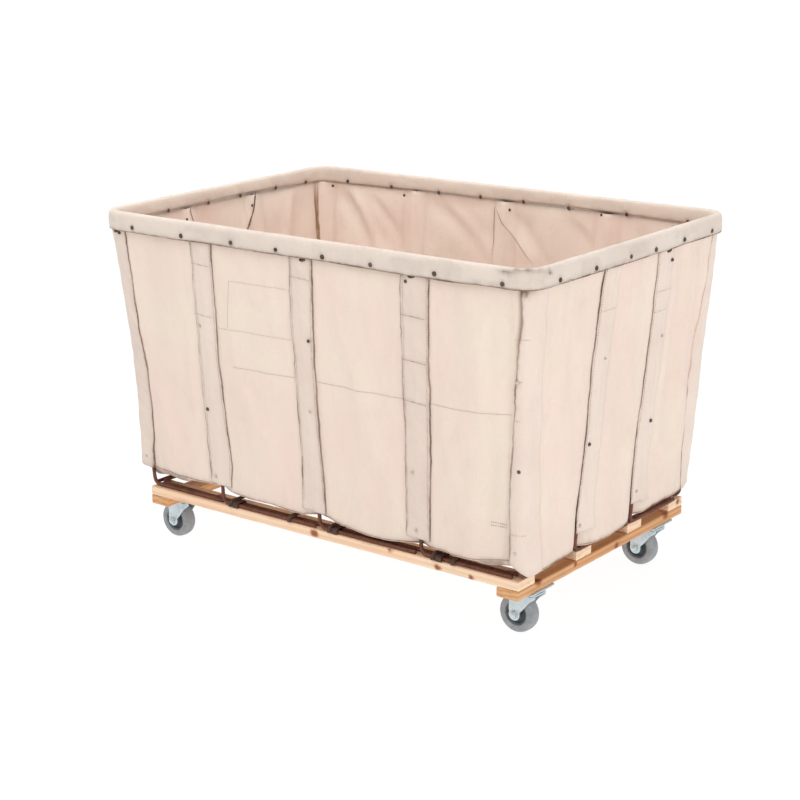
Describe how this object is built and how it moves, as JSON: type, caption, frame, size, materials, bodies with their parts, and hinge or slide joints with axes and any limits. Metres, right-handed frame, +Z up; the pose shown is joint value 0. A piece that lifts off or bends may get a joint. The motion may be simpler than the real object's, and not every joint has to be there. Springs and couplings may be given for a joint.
{
  "type": "laundry cart",
  "caption": "Canvas basket truck: a tapered canvas laundry basket on a steel rod frame, riveted rim, open slatted wooden base and swivel casters.",
  "frame": {"origin": "on the floor, under the middle of the cart", "axes": "+X along the long side, +Y from the front long side to the back one, +Z up"},
  "size_m": [1.2248, 0.8168, 0.838],
  "materials": {
    "pine_long": "planed, unvarnished, knots",
    "pine_cross": "planed, unvarnished, redder",
    "frame_steel": "spring steel rod, brown with rust",
    "canvas": "heavy cotton duck, matte, soiled",
    "strap_webbing": "cotton duck strap, stitched edges, dark frayed selvedge",
    "rim_binding": "folded duck binding, greyer, rubbed",
    "rivet": "oxidised tubular rivet",
    "wood_screw": "dull steel",
    "zinc": "bright zinc plate, slightly blue",
    "wheel_core": "dark grey moulded core",
    "tyre": "non-marking grey rubber, satin"
  },
  "bodies": {
    "cart": {"front_rail": "pine_long", "back_rail": "pine_long", "inner_board_front": "pine_long", "inner_board_back": "pine_long", "cross_board_left": "pine_cross", "cross_board_right": "pine_cross", "deck_screws": "wood_screw", "base_ring": "frame_steel", "transverse_rods": "frame_steel", "rod_clips": "frame_steel", "upright_corner_fl": "frame_steel", "upright_corner_fr": "frame_steel", "upright_corner_bl": "frame_steel", "upright_corner_br": "frame_steel", "uprights_front": "frame_steel", "uprights_back": "frame_steel", "uprights_left": "frame_steel", "uprights_right": "frame_steel", "rim_rail": "frame_steel", "canvas_front": "canvas", "canvas_back": "canvas", "canvas_left": "canvas", "canvas_right": "canvas", "canvas_floor": "canvas", "straps_front": "strap_webbing", "straps_back": "strap_webbing", "straps_left": "strap_webbing", "straps_right": "strap_webbing", "straps_corner": "strap_webbing", "rim_binding": "rim_binding", "rim_rivets": "rivet", "strap_rivets": "rivet", "caster_screws": "zinc", "caster_plate_fl": "zinc", "caster_plate_fr": "zinc", "caster_plate_bl": "zinc", "caster_plate_br": "zinc"},
    "swivel_fl": {"yoke_fl": "zinc", "race_fl": "zinc", "axle_fl": "zinc"},
    "wheel_fl": {"core_fl": "wheel_core", "tyre_fl": "tyre"},
    "swivel_fr": {"yoke_fr": "zinc", "race_fr": "zinc", "axle_fr": "zinc"},
    "wheel_fr": {"core_fr": "wheel_core", "tyre_fr": "tyre"},
    "swivel_bl": {"yoke_bl": "zinc", "race_bl": "zinc", "axle_bl": "zinc"},
    "wheel_bl": {"core_bl": "wheel_core", "tyre_bl": "tyre"},
    "swivel_br": {"yoke_br": "zinc", "race_br": "zinc", "axle_br": "zinc"},
    "wheel_br": {"core_br": "wheel_core", "tyre_br": "tyre"}
  },
  "joints": [
    {"name": "swivel_fl_turn", "type": "hinge", "parent": "cart", "child": "swivel_fl", "pos_m": [-0.512, -0.253, 0.1], "axis": [0, 0, 1], "continuous": true},
    {"name": "wheel_fl_spin", "type": "hinge", "parent": "swivel_fl", "child": "wheel_fl", "pos_m": [-0.542, -0.253, 0.04445], "axis": [0, 1, 0], "continuous": true},
    {"name": "swivel_fr_turn", "type": "hinge", "parent": "cart", "child": "swivel_fr", "pos_m": [0.512, -0.253, 0.1], "axis": [0, 0, 1], "continuous": true},
    {"name": "wheel_fr_spin", "type": "hinge", "parent": "swivel_fr", "child": "wheel_fr", "pos_m": [0.482, -0.253, 0.04445], "axis": [0, 1, 0], "continuous": true},
    {"name": "swivel_bl_turn", "type": "hinge", "parent": "cart", "child": "swivel_bl", "pos_m": [-0.512, 0.253, 0.1], "axis": [0, 0, 1], "continuous": true},
    {"name": "wheel_bl_spin", "type": "hinge", "parent": "swivel_bl", "child": "wheel_bl", "pos_m": [-0.542, 0.253, 0.04445], "axis": [0, 1, 0], "continuous": true},
    {"name": "swivel_br_turn", "type": "hinge", "parent": "cart", "child": "swivel_br", "pos_m": [0.512, 0.253, 0.1], "axis": [0, 0, 1], "continuous": true},
    {"name": "wheel_br_spin", "type": "hinge", "parent": "swivel_br", "child": "wheel_br", "pos_m": [0.482, 0.253, 0.04445], "axis": [0, 1, 0], "continuous": true}
  ]
}
